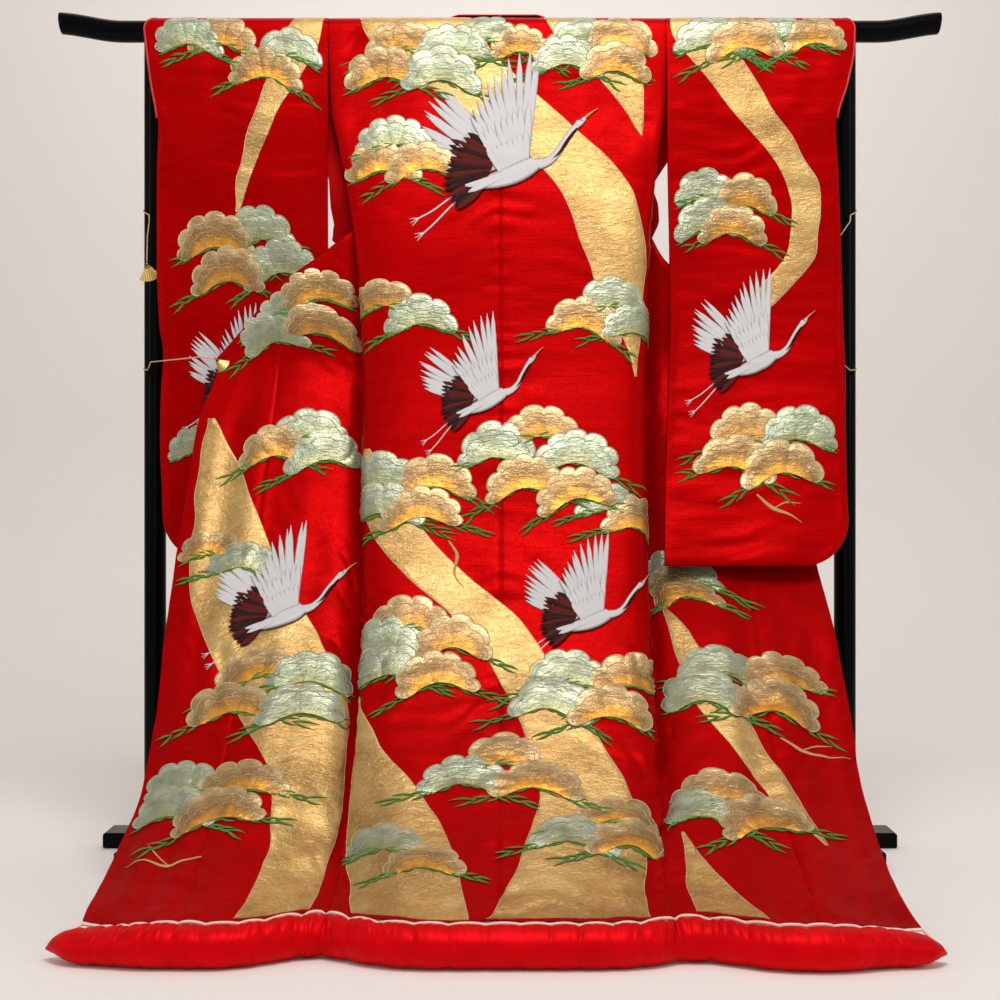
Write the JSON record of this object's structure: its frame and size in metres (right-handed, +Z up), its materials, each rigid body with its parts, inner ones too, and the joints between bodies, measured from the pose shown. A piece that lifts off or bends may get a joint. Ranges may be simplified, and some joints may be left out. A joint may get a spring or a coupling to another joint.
{
  "type": "uchikake wedding kimono on a display stand",
  "caption": "Long-sleeved padded-hem wedding kimono hung over the bar of a lacquered stand, back to the viewer, fronts turned out and hem drawn forward on the floor.",
  "frame": {"origin": "on the floor, under the middle of the whole object's bounding box", "axes": "+X along the bar to the viewer's right, the viewer at -Y, +Z up"},
  "size_m": [1.673, 1.1242, 1.5797],
  "materials": {
    "scarlet_silk": "figured silk satin with foil and silk embroidery",
    "rose_lining": "rolled lining edge",
    "crimson_satin": "gathered satin over wadding",
    "white_piping": "white silk cord",
    "black_lacquer": "gloss black lacquer",
    "brass_clip": "polished",
    "tie_cord": "twisted cord"
  },
  "bodies": {
    "root": {"back_left": "scarlet_silk", "back_right": "scarlet_silk", "front_left": "scarlet_silk", "front_right": "scarlet_silk", "okumi_left": "scarlet_silk", "okumi_right": "scarlet_silk", "collar_left": "scarlet_silk", "collar_right": "scarlet_silk", "sleeve_left": "scarlet_silk", "sleeve_right": "scarlet_silk", "cuff_left": "rose_lining", "cuff_right": "rose_lining", "hem_roll_left": "crimson_satin", "hem_roll_back": "crimson_satin", "hem_roll_right": "crimson_satin", "hem_piping": "white_piping", "stand_bar": "black_lacquer", "stand_post_left": "black_lacquer", "stand_post_right": "black_lacquer", "stand_foot_left": "black_lacquer", "stand_foot_right": "black_lacquer", "stand_knob_left": "black_lacquer", "stand_knob_right": "black_lacquer", "fan_left_high": "brass_clip", "fan_left_low": "brass_clip", "fan_right_high": "brass_clip", "fan_right_low": "brass_clip", "cord_left_high": "tie_cord", "cord_left_low": "tie_cord", "cord_right_high": "tie_cord", "cord_right_low": "tie_cord"}
  },
  "joints": []
}
